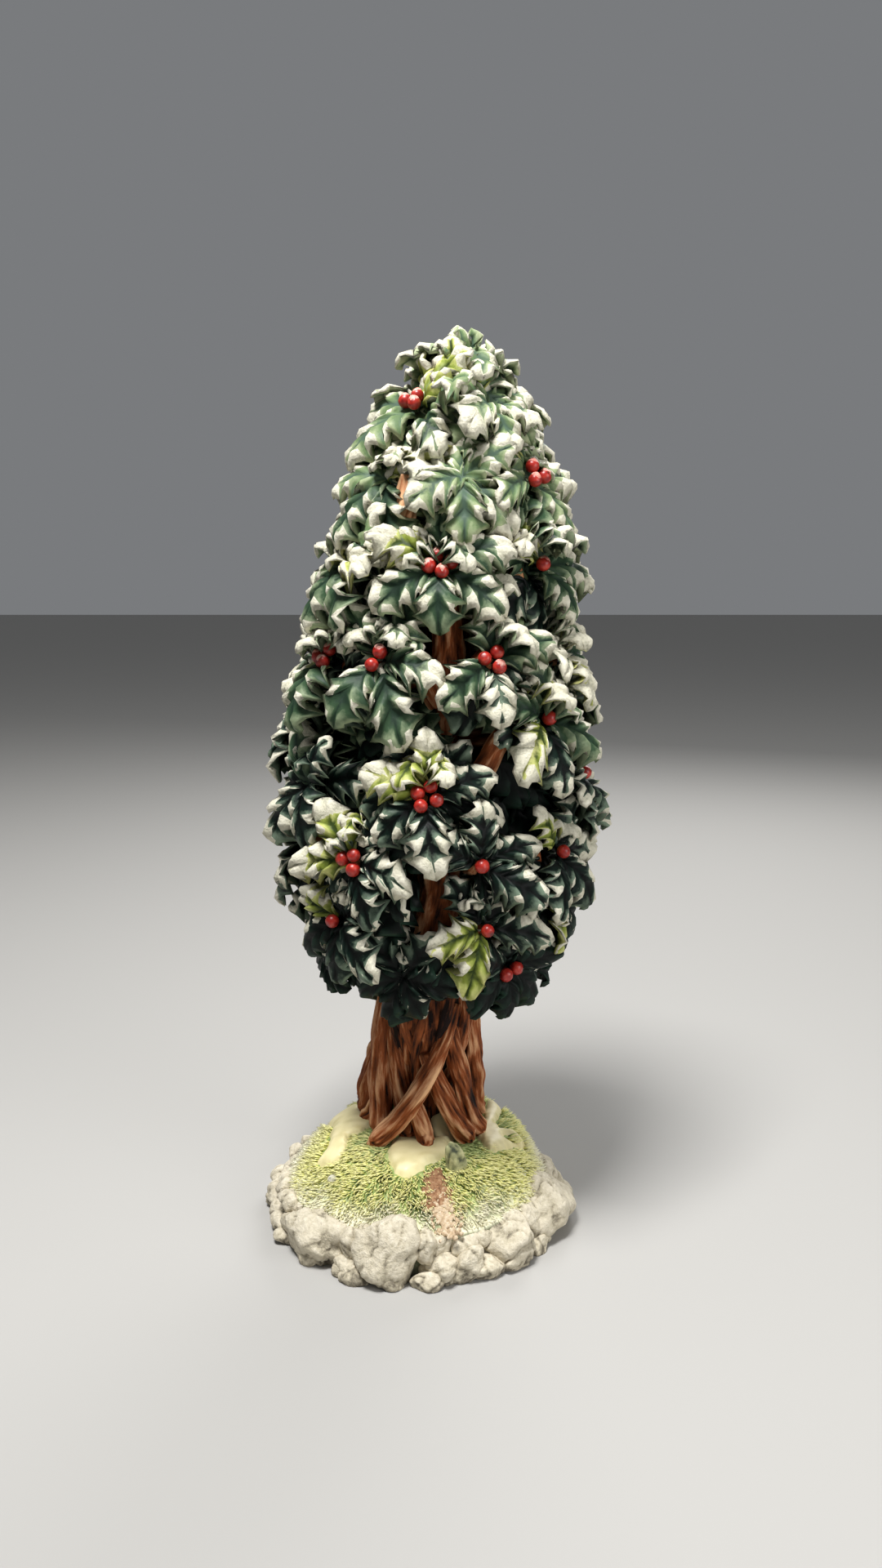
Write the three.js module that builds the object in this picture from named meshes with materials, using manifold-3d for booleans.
// A small cast-resin model of a snow-dusted holly tree on a moulded base of grass and rocks.
//
// Millimetres, +Z up. The origin is the centre of the base's flat underside and the front is -Y.
// Azimuths are degrees round the tree from the front, growing towards +X.

import * as THREE from 'three';
import { mergeVertices } from 'three/addons/utils/BufferGeometryUtils.js';
import Module from 'manifold-3d';

const wasm = await Module();
wasm.setup();

// ---------------------------------------------------------------- driving dimensions

const GAP = 0.3; // between pieces that touch
const MERGE = 1e-4; // points closer than this are one point
const TREE_TOP = 178; // berries on top, above the underside of the base

const BASE = {
  moundRadius: 26.5,
  rimHeight: 8.5, // of the grass at the rocks
  plateauHeight: 16.7, // of the flat spot under the trunk
  plateauRadius: 15.5,
  rings: 6,
  sectors: 28,
};

const FOOT = { x: 2.5, y: 4.5, z: BASE.plateauHeight + GAP }; // centre of the trunk's flat cut
const LEAN = { x: 7, y: -1.5, bend: 1.6 }; // how far the top stands off the foot, and how late

const TRUNK = {
  top: 164,
  footRadius: 10.5,
  tipRadius: 1.2,
  taper: 0.85,
  sides: 9,
  steps: 8,
  sunk: 2, // started below the flat cut, which then trims it
};

// The strands that wind down the outside of the trunk and part into feet: azimuth and height of
// the top, azimuth and reach of the foot, and thickness.
const STRANDS = [
  { from: 38, top: 46, to: -49, foot: 14.6, thick: 2.3 },
  { from: -22, top: 27, to: 3, foot: 11.6, thick: 1.9 },
  { from: -4, top: 36, to: 46, foot: 13, thick: 2.3 },
  { from: 24, top: 44, to: 68, foot: 14.2, thick: 2.3 },
  { from: -80, top: 47, to: -27, foot: 11.4, thick: 2.6 },
  { from: -104, top: 44, to: -98, foot: 13.4, thick: 3 },
  { from: -66, top: 29, to: -74, foot: 13.6, thick: 1.9 },
  { from: 86, top: 47, to: 98, foot: 13.4, thick: 3 },
  { from: 205, top: 46, to: 128, foot: 13.6, thick: 2.6 },
  { from: 140, top: 45, to: 196, foot: 12.8, thick: 2.4 },
  { from: 238, top: 45, to: 226, foot: 13.4, thick: 2.8 },
];
const STRAND = {
  sides: 5,
  steps: 4,
  sunk: 2.5,
  root: 0.85, // thickness at the foot
  belly: 0.3, // added half-way up
  narrow: 0.25, // lost by the top
};

// Half-width of the crown by height.
const CROWN = [
  [44, 20],
  [56, 27.5],
  [70, 32],
  [85, 34.5],
  [105, 32.5],
  [118, 30],
  [133, 27],
  [150, 23],
  [160, 17.5],
  [168, 13.5],
  [TREE_TOP, 4],
];

// Each tier of the crown: its height, how far its leaf rosettes look up, how far their leaves are
// raised beyond the usual, and the masses in it, each given by the azimuths of its rosettes. The
// masses of a tier with boughs are carried on them, and the rest stand on the trunk.
const TIERS = [
  { height: 57, look: -4, masses: [[-76, -14], [42, 104], [164, 226]] },
  { height: 67, look: 8, masses: [[-46], [22, 78], [136, 192], [250]] },
  { height: 80, look: 14, masses: [[-90, -33], [17, 56], [112], [168, 220]] },
  { height: 93, look: 18, masses: [[-62, -4], [84], [138, 192], [246]] },
  { height: 106, look: 22, bough: true, masses: [[-98], [46], [112, 166], [216]] },
  { height: 117, look: 26, bough: true, masses: [[-64, -29], [20, 74], [134, 188], [242]] },
  { height: 134, look: 30, masses: [[-60], [-5, 52], [108, 162], [226]] },
  { height: 150, look: 38, masses: [[-48, 4], [56], [116, 180], [246]] },
  { height: 163.5, look: 44, raise: 6, masses: [[-54, 32], [122, 210]] },
];

const ROSETTE = {
  depth: 6.2, // of its hub inside the crown's outline
  topDepth: 3.3, // of the top one's hub under the top of the tree
  topRaise: -24, // degrees more for the lift and droop of the top one's leaves
  hubRadius: 2.8,
  hubHeight: 1.3,
  leaves: 6,
  jitter: 3, // degrees round the hub
  lift: 26, // degrees at the leaf's root
  liftJitter: 9,
  droop: -34, // degrees at the leaf's tip
  sway: 12, // degrees more for the leaves that point down the slope
};

// First numbers of the three draws made for each leaf.
const DRAW = { turn: 0, length: 20, lift: 40 };

const LEAF = {
  length: 13,
  width: 9.6,
  thickness: 1.1,
  spread: 0.12, // of the length, either way
  upperShare: 0.82, // of the length, where the leaf points up the slope
  ridgeAt: 0.5, // of the length, where the blade is thickest
};

// What is tried for a leaf, in turn: degrees added to its lift and droop, and its size.
const ATTEMPTS = [
  { lift: 0, size: 1 },
  { lift: -12, size: 1 },
  { lift: 14, size: 1 },
  { lift: -6, size: 0.84 },
  { lift: 20, size: 0.84 },
  { lift: 4, size: 0.7 },
];

// Half of a holly leaf's outline: share of the length, share of the half-width, lift of the edge.
const LEAF_EDGE = [
  [0.27, 0.68, -0.5],
  [0.42, 0.46, 0.7],
  [0.6, 1, -0.7],
  [0.78, 0.4, 0.6],
];

const BERRY = { count: 3, radius: 1.6, ring: 1.9, stand: 1.7 };
const STEM = { radius: 1.7, tipRadius: 1.4, sides: 3, fork: 0.35, drop: 5, towardsMiddle: 0.7 };
const BOUGH = { radius: 2.1, tipRadius: 1.5, sides: 6, steps: 3, reach: 0.55, sag: 0.8 };

// The rocks round the rim, by the azimuths at which one ends and the next begins.
const ROCKS = {
  edges: [-64, -24, 6, 26, 56, 96, 136, 176, 216, 256, 296],
  heights: [9.5, 11.5, 8.5, 9.5, 11, 9, 8.5, 9, 9.5, 9],
  ring: 28.6,
  depth: 4.4, // either way from the ring
  width: 0.56, // half of it, as a share of the arc between two edges
  centre: 0.34, // of the height
  tall: 0.68, // half of it, as a share of the height
  detail: 1,
  lump: 0.14,
  waves: [4, 3, 5], // of the lumps, along x, y and z
  spaceRadius: 40,
  spaceHeight: 30,
};

// Snow lying on the grass: outlines seen from above.
const SNOW_THICKNESS = 1;
const SNOW_SPACE = 40;
const SNOW = {
  left: [[-13, 12], [-18, 11], [-20, 4], [-23, -4], [-19, -6], [-15, -1], [-11.5, 2]],
  centre: [[-6, -8], [-6, -12], [-3, -14], [2, -13], [4, -9.5], [7.5, -10.5], [9, -7], [6, -3]],
  right: [[16, 14], [19, 6], [23, 3.5], [23.5, -1], [19.5, -3], [16, -2.5], [15, 3]],
};

const FINISHES = {
  grass: { color: 0xa9b35a, roughness: 0.9 },
  rock: { color: 0xd9d2c6, roughness: 0.9 },
  snow: { color: 0xdcd5a8, roughness: 0.5 },
  bark: { color: 0x7c4128, roughness: 0.7 },
  leaf: { color: 0x1f3d33, roughness: 0.6 },
};

// ---------------------------------------------------------------- small helpers

const rad = THREE.MathUtils.degToRad;

// A repeatable number from 0 to 1 for a pair of whole numbers.
function chance(i, k) {
  const s = Math.sin(i * 12.9898 + k * 78.233) * 43758.5453;
  return s - Math.floor(s);
}

function between(i, k, spread) {
  return (2 * chance(i, k) - 1) * spread;
}

function alongTable(table, at) {
  let k = 1;
  while (k < table.length - 1 && table[k][0] < at) {
    k += 1;
  }
  const [z0, v0] = table[k - 1];
  const [z1, v1] = table[k];
  return THREE.MathUtils.lerp(v0, v1, THREE.MathUtils.clamp((at - z0) / (z1 - z0), 0, 1));
}

function outwards(azimuth) {
  return new THREE.Vector3(Math.sin(rad(azimuth)), -Math.cos(rad(azimuth)), 0);
}

// The line that the trunk and the crown are built round.
function axisAt(z) {
  const t = Math.max(0, (z - FOOT.z) / (TREE_TOP - FOOT.z));
  return new THREE.Vector3(FOOT.x + LEAN.x * t ** LEAN.bend, FOOT.y + LEAN.y * t, z);
}

function trunkRadius(z) {
  const t = THREE.MathUtils.clamp((z - FOOT.z) / (TRUNK.top - FOOT.z), 0, 1);
  return TRUNK.tipRadius + (TRUNK.footRadius - TRUNK.tipRadius) * (1 - t) ** TRUNK.taper;
}

function meshGeometry(positions, index) {
  const geometry = new THREE.BufferGeometry();
  geometry.setAttribute('position', new THREE.Float32BufferAttribute(positions, 3));
  geometry.setIndex(index);
  return geometry;
}

function toSolid(geometry) {
  const bare = geometry.clone();
  bare.deleteAttribute('normal');
  bare.deleteAttribute('uv');
  const merged = mergeVertices(bare, MERGE);
  const mesh = new wasm.Mesh({
    numProp: 3,
    vertProperties: new Float32Array(merged.attributes.position.array),
    triVerts: new Uint32Array(merged.index.array),
  });
  return new wasm.Manifold(mesh);
}

function toGeometry(solid) {
  const mesh = solid.getMesh();
  const geometry = meshGeometry(Array.from(mesh.vertProperties), Array.from(mesh.triVerts));
  geometry.computeVertexNormals();
  return geometry;
}

function joined(solids) {
  return solids.reduce((sum, solid) => sum.add(solid));
}

function largestPart(solid) {
  return solid.decompose().reduce((a, b) => (a.volume() > b.volume() ? a : b));
}

// A closed round limb along a curve, with its own radius at each step.
function limb(curve, steps, sides, radiusAt) {
  const frames = curve.computeFrenetFrames(steps, false);
  const positions = [];
  const index = [];
  for (let i = 0; i <= steps; i += 1) {
    const centre = curve.getPointAt(i / steps);
    for (let j = 0; j < sides; j += 1) {
      const turn = (2 * Math.PI * j) / sides;
      const radius = radiusAt(i / steps);
      const point = centre
        .clone()
        .addScaledVector(frames.normals[i], radius * Math.cos(turn))
        .addScaledVector(frames.binormals[i], radius * Math.sin(turn));
      positions.push(...point);
    }
  }
  for (let i = 0; i < steps; i += 1) {
    for (let j = 0; j < sides; j += 1) {
      const a = i * sides + j;
      const b = i * sides + ((j + 1) % sides);
      index.push(a, b, b + sides, a, b + sides, a + sides);
    }
  }
  const last = steps * sides;
  for (let j = 1; j < sides - 1; j += 1) {
    index.push(0, j + 1, j, last, last + j, last + j + 1);
  }
  return toSolid(meshGeometry(positions, index));
}

// ---------------------------------------------------------------- base

// Height of the grass: flat under the trunk, then falling to the rocks.
function groundHeight(x, y) {
  const toRim = Math.max(0, BASE.moundRadius - Math.hypot(x, y));
  const toFlat = Math.max(0, Math.hypot(x - FOOT.x, y - FOOT.y) - BASE.plateauRadius);
  const share = toRim / (toRim + toFlat || 1);
  return BASE.rimHeight + (BASE.plateauHeight - BASE.rimHeight) * Math.sin((share * Math.PI) / 2);
}

function moundSolid() {
  const { rings, sectors, moundRadius } = BASE;
  const positions = [0, 0, groundHeight(0, 0)];
  const index = [];
  for (let i = 1; i <= rings; i += 1) {
    const r = (moundRadius * i) / rings;
    for (let j = 0; j < sectors; j += 1) {
      const turn = (2 * Math.PI * j) / sectors;
      const x = r * Math.cos(turn);
      const y = r * Math.sin(turn);
      positions.push(x, y, groundHeight(x, y));
    }
  }
  const rim = 1 + (rings - 1) * sectors;
  const floor = rim + sectors;
  for (let j = 0; j < sectors; j += 1) {
    positions.push(positions[3 * (rim + j)], positions[3 * (rim + j) + 1], 0);
  }
  const under = floor + sectors;
  positions.push(0, 0, 0);
  for (let j = 0; j < sectors; j += 1) {
    const next = (j + 1) % sectors;
    index.push(0, 1 + j, 1 + next);
    for (let i = 0; i < rings; i += 1) {
      const a = 1 + i * sectors;
      index.push(a + j, a + sectors + j, a + sectors + next, a + j, a + sectors + next, a + next);
    }
    index.push(under, floor + next, floor + j);
  }
  return toSolid(meshGeometry(positions, index));
}

// The space between two azimuths outside the mound, less the gaps to its neighbours.
function rimSector(from, to) {
  const inner = BASE.moundRadius + GAP;
  const slack = THREE.MathUtils.radToDeg(GAP / 2 / inner);
  const shape = new THREE.Shape();
  const start = rad(from + slack - 90);
  const end = rad(to - slack - 90);
  shape.absarc(0, 0, ROCKS.spaceRadius, start, end, false);
  shape.absarc(0, 0, inner, end, start, true);
  const settings = { depth: ROCKS.spaceHeight, bevelEnabled: false, curveSegments: 4 };
  return toSolid(new THREE.ExtrudeGeometry(shape, settings));
}

// Rock k is a lumpy ball, drawn out to its width and height, on the ring round the mound.
function rockSolid(k) {
  const [from, to] = ROCKS.edges.slice(k, k + 2);
  const height = ROCKS.heights[k];
  const [wx, wy, wz] = ROCKS.waves;
  const half = new THREE.Vector3(
    ROCKS.width * ROCKS.ring * rad(to - from),
    ROCKS.depth,
    ROCKS.tall * height,
  );
  const geometry = new THREE.IcosahedronGeometry(1, ROCKS.detail);
  const position = geometry.attributes.position;
  const point = new THREE.Vector3();
  for (let i = 0; i < position.count; i += 1) {
    point.fromBufferAttribute(position, i);
    const swell = Math.sin(wx * point.x + 2 * k) * Math.cos(wy * point.y + k);
    const lump = swell + Math.sin(wz * point.z + k);
    point.multiplyScalar(1 + ROCKS.lump * lump).multiply(half);
    position.setXYZ(i, ...point);
  }
  geometry.translate(0, -ROCKS.ring, ROCKS.centre * height);
  geometry.rotateZ(rad((from + to) / 2));
  return largestPart(toSolid(geometry).intersect(rimSector(from, to)));
}

// A patch of snow: the layer between the mound raised a little and the mound raised more.
function snowSolid(outline, mound, trunk) {
  const shape = new THREE.Shape(outline.map(([x, y]) => new THREE.Vector2(x, y)));
  const prism = toSolid(new THREE.ExtrudeGeometry(shape, { depth: SNOW_SPACE, bevelEnabled: false }));
  const layer = mound.translate([0, 0, GAP + SNOW_THICKNESS]).subtract(mound.translate([0, 0, GAP]));
  return largestPart(prism.intersect(layer).subtract(trunk));
}

// ---------------------------------------------------------------- trunk and boughs

// A strand winds evenly, and leaves the trunk faster the lower it is.
function strandSolid({ from, top, to, foot, thick }, extra) {
  const points = [];
  for (let i = 0; i <= STRAND.steps; i += 1) {
    const t = i / STRAND.steps;
    const z = THREE.MathUtils.lerp(FOOT.z - STRAND.sunk, top, t);
    const reach = THREE.MathUtils.lerp(foot, trunkRadius(top) - thick / 2, Math.sqrt(t));
    const azimuth = THREE.MathUtils.lerp(to, from, t);
    points.push(axisAt(z).addScaledVector(outwards(azimuth), reach));
  }
  const curve = new THREE.CatmullRomCurve3(points);
  const shareAt = (t) => STRAND.root + STRAND.belly * Math.sin(Math.PI * t) - STRAND.narrow * t;
  return limb(curve, STRAND.steps, STRAND.sides, (t) => extra + thick * shareAt(t));
}

// The trunk from its flat cut to its tip. A positive extra gives the space it needs.
function trunkSolid(extra) {
  const axis = [];
  for (let i = 0; i <= TRUNK.steps; i += 1) {
    const z = THREE.MathUtils.lerp(FOOT.z - TRUNK.sunk, TRUNK.top + extra, i / TRUNK.steps);
    axis.push(axisAt(z));
  }
  const curve = new THREE.CatmullRomCurve3(axis);
  const radiusAt = (t) => extra + trunkRadius(curve.getPointAt(t).z);
  const core = limb(curve, TRUNK.steps, TRUNK.sides, radiusAt);
  const whole = joined([core, ...STRANDS.map((strand) => strandSolid(strand, extra))]);
  const cut = FOOT.z - extra;
  const belowCut = new THREE.BoxGeometry(2 * BASE.moundRadius, 2 * BASE.moundRadius, cut);
  return whole.subtract(toSolid(belowCut.translate(FOOT.x, FOOT.y, cut / 2)));
}

// ---------------------------------------------------------------- leaves and rosettes

// A rosette's place and its three directions: out of the crown, down its slope, and across.
function rosetteFrame(tier, azimuth) {
  const reach = alongTable(CROWN, tier.height) - ROSETTE.depth;
  const out = outwards(azimuth);
  const up = new THREE.Vector3(0, 0, 1);
  const look = rad(tier.look);
  const normal = out.clone().multiplyScalar(Math.cos(look)).addScaledVector(up, Math.sin(look));
  const down = out.clone().multiplyScalar(Math.sin(look)).addScaledVector(up, -Math.cos(look));
  const across = new THREE.Vector3().crossVectors(normal, down);
  const hub = axisAt(tier.height).addScaledVector(out, reach);
  return { hub, normal, down, across, raise: tier.raise ?? 0 };
}

// The root, run and rise directions and the turns that shape leaf j of rosette i.
function leafPose(frame, i, j, attempt) {
  const turn = (360 * (j + 0.5 * (i % 2))) / ROSETTE.leaves;
  const around = turn + between(i, j + DRAW.turn, ROSETTE.jitter);
  const downhill = Math.cos(rad(around));
  const run = frame.down
    .clone()
    .multiplyScalar(downhill)
    .addScaledVector(frame.across, Math.sin(rad(around)));
  const share = THREE.MathUtils.lerp(LEAF.upperShare, 1, (downhill + 1) / 2);
  const size = attempt.size * (1 + between(i, j + DRAW.length, LEAF.spread));
  const tilt = frame.raise + attempt.lift;
  return {
    root: frame.hub.clone().addScaledVector(run, ROSETTE.hubRadius),
    run,
    rise: frame.normal,
    side: new THREE.Vector3().crossVectors(frame.normal, run),
    length: LEAF.length * share * size,
    lift: rad(ROSETTE.lift + tilt + between(i, j + DRAW.lift, ROSETTE.liftJitter)),
    droop: rad(ROSETTE.droop + tilt - ROSETTE.sway * downhill),
  };
}

// A point of the bent leaf: s along its midrib, w across it and h off its face.
function leafPoint(pose, s, w, h) {
  const bend = pose.droop - pose.lift;
  const angle = pose.lift + bend * s;
  const along = (pose.length * (Math.sin(angle) - Math.sin(pose.lift))) / bend;
  const above = (pose.length * (Math.cos(pose.lift) - Math.cos(angle))) / bend;
  return pose.root
    .clone()
    .addScaledVector(pose.run, along - h * Math.sin(angle))
    .addScaledVector(pose.rise, above + h * Math.cos(angle))
    .addScaledVector(pose.side, w);
}

// The spiny edge from the right of the root round the tip to the left of the root.
function leafEdge(pose, extra) {
  const halfWidth = (LEAF.width / 2) * (pose.length / LEAF.length) + extra;
  const edge = (side) => LEAF_EDGE.map(([s, w, h]) => leafPoint(pose, s, side * w * halfWidth, h));
  return [...edge(-1), leafPoint(pose, 1 + extra / pose.length, 0, 0), ...edge(1).reverse()];
}

// Triangles from one inner point to each side of a loop, facing up or down.
function fan(loop, inner, faceUp) {
  return loop.flatMap((a, k) => {
    const b = loop[(k + 1) % loop.length];
    return faceUp ? [a, b, inner] : [b, a, inner];
  });
}

// The space that one leaf needs: its blade, a little larger, closed at the root.
function leafSpace(pose) {
  const half = LEAF.thickness / 2 + GAP / 2;
  const rootWidth = ROSETTE.hubRadius * Math.tan(Math.PI / ROSETTE.leaves);
  const sides = [-rootWidth, rootWidth].map((w) => leafPoint(pose, 0, w, 0));
  const points = [sides[0], ...leafEdge(pose, GAP / 2), sides[1]];
  const loop = points.map((_, k) => k);
  const over = points.push(leafPoint(pose, LEAF.ridgeAt, 0, half)) - 1;
  const under = points.push(leafPoint(pose, LEAF.ridgeAt, 0, -half)) - 1;
  const index = [...fan(loop, over, true), ...fan(loop, under, false)];
  return toSolid(meshGeometry(points.flatMap((p) => [...p]), index));
}

// Hub, leaves and berries as one closed skin. Neighbouring leaves share a point of the hub's rim,
// and each berry swells out of its share of the hub's face.
function rosetteSolid(frame, poses, kept) {
  const half = LEAF.thickness / 2;
  const points = [];
  const index = [];
  const place = (point) => points.push(point) - 1;
  const centre = place(frame.hub.clone().addScaledVector(frame.normal, half));
  const bottom = place(frame.hub.clone().addScaledVector(frame.normal, -ROSETTE.hubHeight));
  const rim = poses.map((pose, j) => {
    const before = poses[(j + poses.length - 1) % poses.length];
    const run = pose.run.clone().add(before.run).setLength(ROSETTE.hubRadius);
    return place(frame.hub.clone().add(run));
  });
  const face = [];
  poses.forEach((pose, j) => {
    const right = rim[j];
    const left = rim[(j + 1) % rim.length];
    const over = place(leafPoint(pose, 0, 0, half));
    const under = place(leafPoint(pose, 0, 0, -half));
    face.push(right, over);
    index.push(bottom, under, right, bottom, left, under);
    if (!kept[j]) {
      index.push(over, right, under, over, under, left);
      return;
    }
    const edge = leafEdge(pose, 0).map(place);
    const ridge = place(leafPoint(pose, LEAF.ridgeAt, 0, half));
    const keel = place(leafPoint(pose, LEAF.ridgeAt, 0, -half));
    index.push(...fan([right, ...edge, left, over], ridge, true));
    index.push(...fan([right, ...edge, left, under], keel, false));
  });
  const share = face.length / BERRY.count;
  for (let k = 0; k < BERRY.count; k += 1) {
    const loop = [centre];
    for (let n = 0; n <= share; n += 1) {
      loop.push(face[(k * share + n) % face.length]);
    }
    index.push(...berryFaces(frame, poses, k, loop, points));
  }
  return toSolid(meshGeometry(points.flatMap((p) => [...p]), index));
}

// The faces of one berry: from the loop it stands on, out to its girth and in to its top.
function berryFaces(frame, poses, k, loop, points) {
  const per = poses.length / BERRY.count;
  const way = poses[k * per].run.clone().add(poses[k * per + per - 1].run).normalize();
  const heart = frame.hub
    .clone()
    .addScaledVector(way, BERRY.ring)
    .addScaledVector(frame.normal, BERRY.stand);
  const girth = loop.map((n) => {
    const spoke = points[n].clone().sub(heart);
    spoke.addScaledVector(frame.normal, -spoke.dot(frame.normal));
    return points.push(heart.clone().add(spoke.setLength(BERRY.radius))) - 1;
  });
  const top = points.push(heart.clone().addScaledVector(frame.normal, BERRY.radius)) - 1;
  const sides = loop.flatMap((a, n) => {
    const next = (n + 1) % loop.length;
    return [a, loop[next], girth[next], a, girth[next], girth[n]];
  });
  return [...sides, ...fan(girth, top, true)];
}

// ---------------------------------------------------------------- masses and boughs

function stick(from, to, radius, tipRadius) {
  const curve = new THREE.LineCurve3(from, to);
  return limb(curve, 1, STEM.sides, (t) => THREE.MathUtils.lerp(radius, tipRadius, t));
}

// Where a mass starts on the trunk, leaning towards its first rosette, and all its rosettes.
function massFrame(tier, azimuths) {
  const middle = azimuths.reduce((a, b) => a + b) / azimuths.length;
  const azimuth = THREE.MathUtils.lerp(azimuths[0], middle, STEM.towardsMiddle);
  const thick = tier.bough ? BOUGH.radius : STEM.radius;
  const low = tier.height - STEM.drop;
  const clear = trunkRadius(low) + GAP + thick / 2;
  const start = axisAt(low).addScaledVector(outwards(azimuth), clear);
  return { start, frames: azimuths.map((at) => rosetteFrame(tier, at)) };
}

function boughSolid(start, end) {
  const middle = start.clone().lerp(end, 0.5);
  middle.z -= BOUGH.sag;
  const curve = new THREE.QuadraticBezierCurve3(start, middle, end);
  const radiusAt = (t) => THREE.MathUtils.lerp(BOUGH.radius, BOUGH.tipRadius, t);
  return limb(curve, BOUGH.steps, BOUGH.sides, radiusAt);
}

// A stem to the first hub, and a side twig from its fork to each further hub.
function twigSolids(from, frames) {
  const { radius, tipRadius } = STEM;
  const stem = stick(from, frames[0].hub, radius, tipRadius);
  const knot = from.clone().lerp(frames[0].hub, STEM.fork);
  const sideTwigs = frames.slice(1).map((frame) => stick(knot, frame.hub, tipRadius, tipRadius));
  return [stem, ...sideTwigs];
}

// The mass on top of the trunk looks straight up.
function topMass() {
  const hub = axisAt(TREE_TOP - ROSETTE.topDepth);
  const frame = {
    hub,
    normal: new THREE.Vector3(0, 0, 1),
    down: new THREE.Vector3(0, -1, 0),
    across: new THREE.Vector3(1, 0, 0),
    raise: ROSETTE.topRaise,
  };
  const twigs = twigSolids(axisAt(TRUNK.top + GAP), [frame]);
  return { name: 'mass_top', frames: [frame], twigs };
}

// ---------------------------------------------------------------- the tree, piece by piece

const tree = new THREE.Group();

function addPiece(name, solid, finish) {
  const material = new THREE.MeshStandardMaterial({ ...finish, metalness: 0 });
  const mesh = new THREE.Mesh(toGeometry(solid), material);
  mesh.name = name;
  tree.add(mesh);
}

const mound = moundSolid();
const trunkSpace = trunkSolid(GAP);
addPiece('ground_mound', mound, FINISHES.grass);
addPiece('trunk', trunkSolid(0), FINISHES.bark);
ROCKS.heights.forEach((_, k) => addPiece(`rim_rock_${k + 1}`, rockSolid(k), FINISHES.rock));
Object.entries(SNOW).forEach(([side, outline]) => {
  addPiece(`snow_patch_${side}`, snowSolid(outline, mound, trunkSpace), FINISHES.snow);
});

const limbs = [trunkSpace, mound];
const masses = [];
TIERS.forEach((tier, level) => {
  tier.masses.forEach((azimuths, order) => {
    const { start, frames } = massFrame(tier, azimuths);
    let from = start;
    if (tier.bough) {
      const way = frames[0].hub.clone().sub(start);
      const end = start.clone().addScaledVector(way, BOUGH.reach);
      const bough = boughSolid(start, end);
      addPiece(`bough_${level + 1}_${order + 1}`, bough, FINISHES.bark);
      limbs.push(bough);
      from = end.add(way.setLength(2 * GAP));
    }
    const twigs = twigSolids(from, frames);
    masses.push({ name: `mass_${level + 1}_${order + 1}`, frames, twigs });
  });
});
masses.push(topMass());
masses.forEach((mass) => {
  const none = new Array(ROSETTE.leaves).fill(false);
  const hubs = mass.frames.map((frame) => {
    const poses = none.map((_, j) => leafPose(frame, 0, j, ATTEMPTS[0]));
    return rosetteSolid(frame, poses, none);
  });
  mass.taken = [...mass.twigs, ...hubs];
});

function touches(solid, other) {
  const a = solid.boundingBox();
  const b = other.boundingBox();
  const near = [0, 1, 2].every((k) => a.min[k] <= b.max[k] && b.min[k] <= a.max[k]);
  return near && !solid.intersect(other).isEmpty();
}

// Each leaf takes the first attempt that is clear of the limbs and of every other mass.
let rosetteNumber = 0;
masses.forEach((mass) => {
  const others = masses.filter((other) => other !== mass);
  const obstacles = [...limbs, ...others.flatMap((other) => other.taken)];
  const solids = [...mass.twigs];
  mass.frames.forEach((frame) => {
    const poses = [];
    const kept = [];
    for (let j = 0; j < ROSETTE.leaves; j += 1) {
      const tried = ATTEMPTS.map((attempt) => leafPose(frame, rosetteNumber, j, attempt));
      const own = solids.slice(mass.twigs.length);
      const clear = (pose) => {
        const space = leafSpace(pose);
        return ![...obstacles, ...own].some((other) => touches(space, other));
      };
      const found = tried.find(clear);
      poses.push(found ?? tried[0]);
      kept.push(Boolean(found));
      if (found) {
        mass.taken.push(leafSpace(found));
      }
    }
    solids.push(rosetteSolid(frame, poses, kept));
    rosetteNumber += 1;
  });
  addPiece(mass.name, joined(solids), FINISHES.leaf);
});

export default tree;
